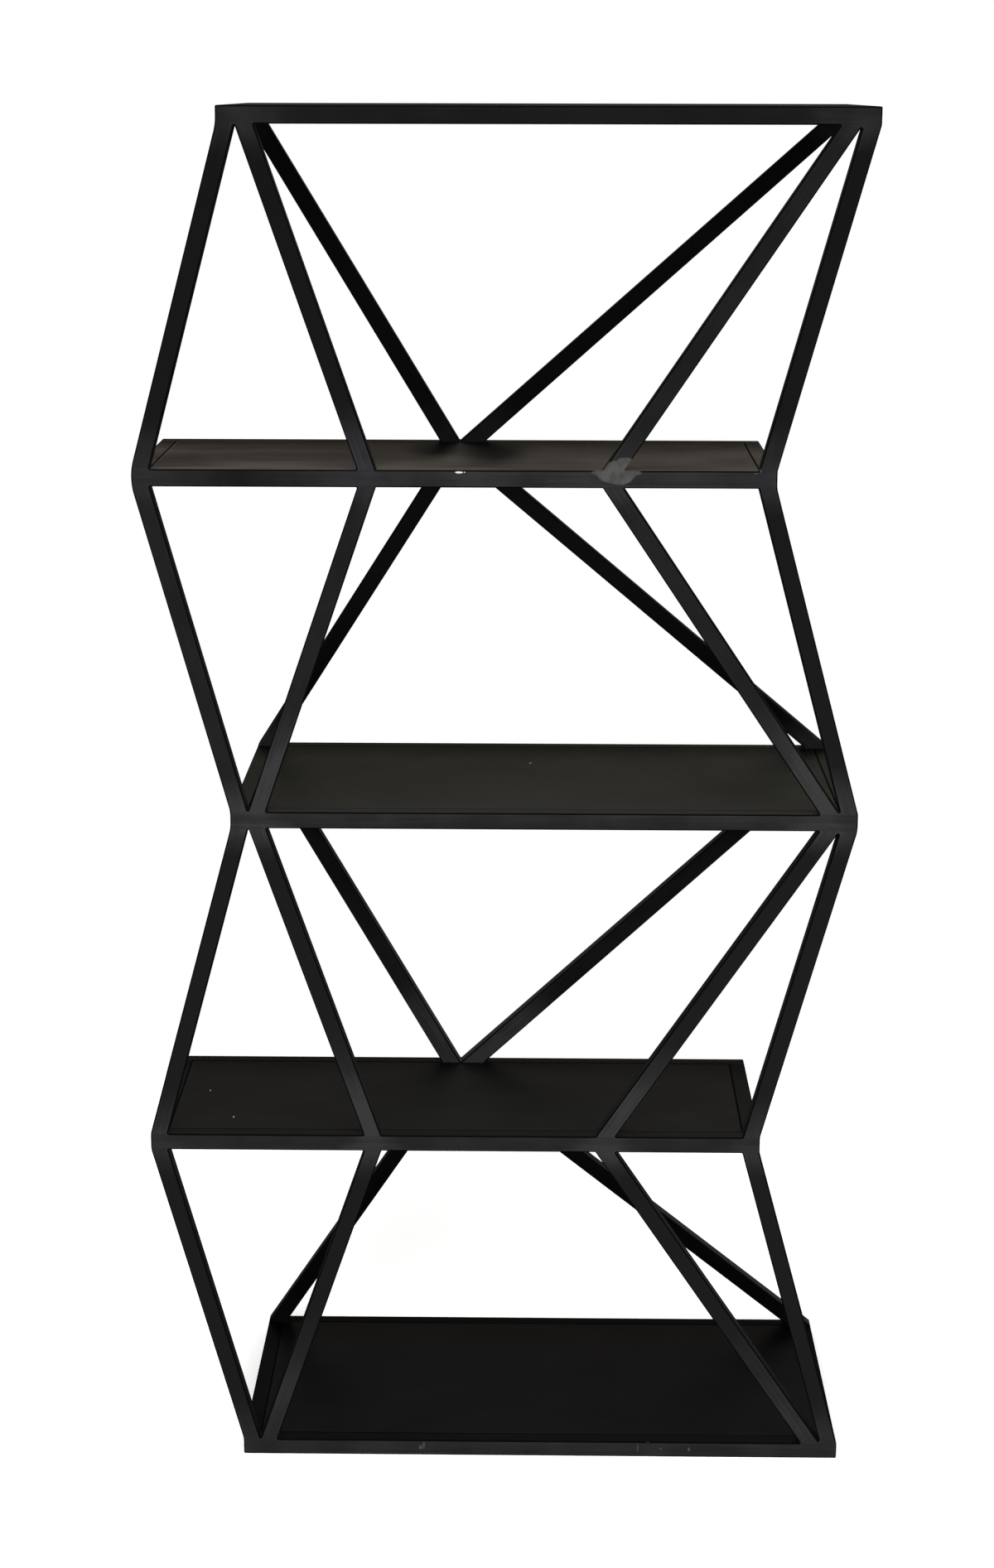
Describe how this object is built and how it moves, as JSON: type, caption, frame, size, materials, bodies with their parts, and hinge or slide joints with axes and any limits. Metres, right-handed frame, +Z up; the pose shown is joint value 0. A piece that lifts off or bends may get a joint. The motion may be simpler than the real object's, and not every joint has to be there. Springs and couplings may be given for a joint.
{
  "type": "zigzag bookshelf",
  "caption": "Tall open bookshelf of welded square tube, whose shelves step from side to side on leaning struts, with sheet steel tops let into mitred frames.",
  "frame": {"origin": "middle of the footprint's box, on the floor", "axes": "+Z up, -Y towards the front, +X to the right as seen from the front"},
  "size_m": [1.06, 0.452, 2.0574],
  "materials": {
    "blackened_tube": "satin black, hand-rubbed blackened steel tube, welds ground flush",
    "bronzed_sheet": "satin brown-black steel sheet, faint brush lines"
  },
  "bodies": {
    "root": {"shelf_1_front_rail": "blackened_tube", "shelf_1_back_rail": "blackened_tube", "shelf_1_left_rail": "blackened_tube", "shelf_1_right_rail": "blackened_tube", "shelf_1_sheet": "bronzed_sheet", "shelf_2_front_rail": "blackened_tube", "shelf_2_back_rail": "blackened_tube", "shelf_2_left_rail": "blackened_tube", "shelf_2_right_rail": "blackened_tube", "shelf_2_sheet": "bronzed_sheet", "shelf_3_front_rail": "blackened_tube", "shelf_3_back_rail": "blackened_tube", "shelf_3_left_rail": "blackened_tube", "shelf_3_right_rail": "blackened_tube", "shelf_3_sheet": "bronzed_sheet", "shelf_4_front_rail": "blackened_tube", "shelf_4_back_rail": "blackened_tube", "shelf_4_left_rail": "blackened_tube", "shelf_4_right_rail": "blackened_tube", "shelf_4_sheet": "bronzed_sheet", "shelf_5_front_rail": "blackened_tube", "shelf_5_back_rail": "blackened_tube", "shelf_5_left_rail": "blackened_tube", "shelf_5_right_rail": "blackened_tube", "shelf_5_sheet": "bronzed_sheet", "bay_1_front_left_outer_strut": "blackened_tube", "bay_1_front_left_inner_strut": "blackened_tube", "bay_1_back_left_strut": "blackened_tube", "bay_1_front_right_outer_strut": "blackened_tube", "bay_1_front_right_inner_strut": "blackened_tube", "bay_1_back_right_strut": "blackened_tube", "bay_2_front_left_outer_strut": "blackened_tube", "bay_2_front_left_inner_strut": "blackened_tube", "bay_2_back_left_strut": "blackened_tube", "bay_2_front_right_outer_strut": "blackened_tube", "bay_2_front_right_inner_strut": "blackened_tube", "bay_2_back_right_strut": "blackened_tube", "bay_3_front_left_outer_strut": "blackened_tube", "bay_3_front_left_inner_strut": "blackened_tube", "bay_3_back_left_strut": "blackened_tube", "bay_3_front_right_outer_strut": "blackened_tube", "bay_3_front_right_inner_strut": "blackened_tube", "bay_3_back_right_strut": "blackened_tube", "bay_4_front_left_outer_strut": "blackened_tube", "bay_4_front_left_inner_strut": "blackened_tube", "bay_4_back_left_strut": "blackened_tube", "bay_4_front_right_outer_strut": "blackened_tube", "bay_4_front_right_inner_strut": "blackened_tube", "bay_4_back_right_strut": "blackened_tube"}
  },
  "joints": []
}
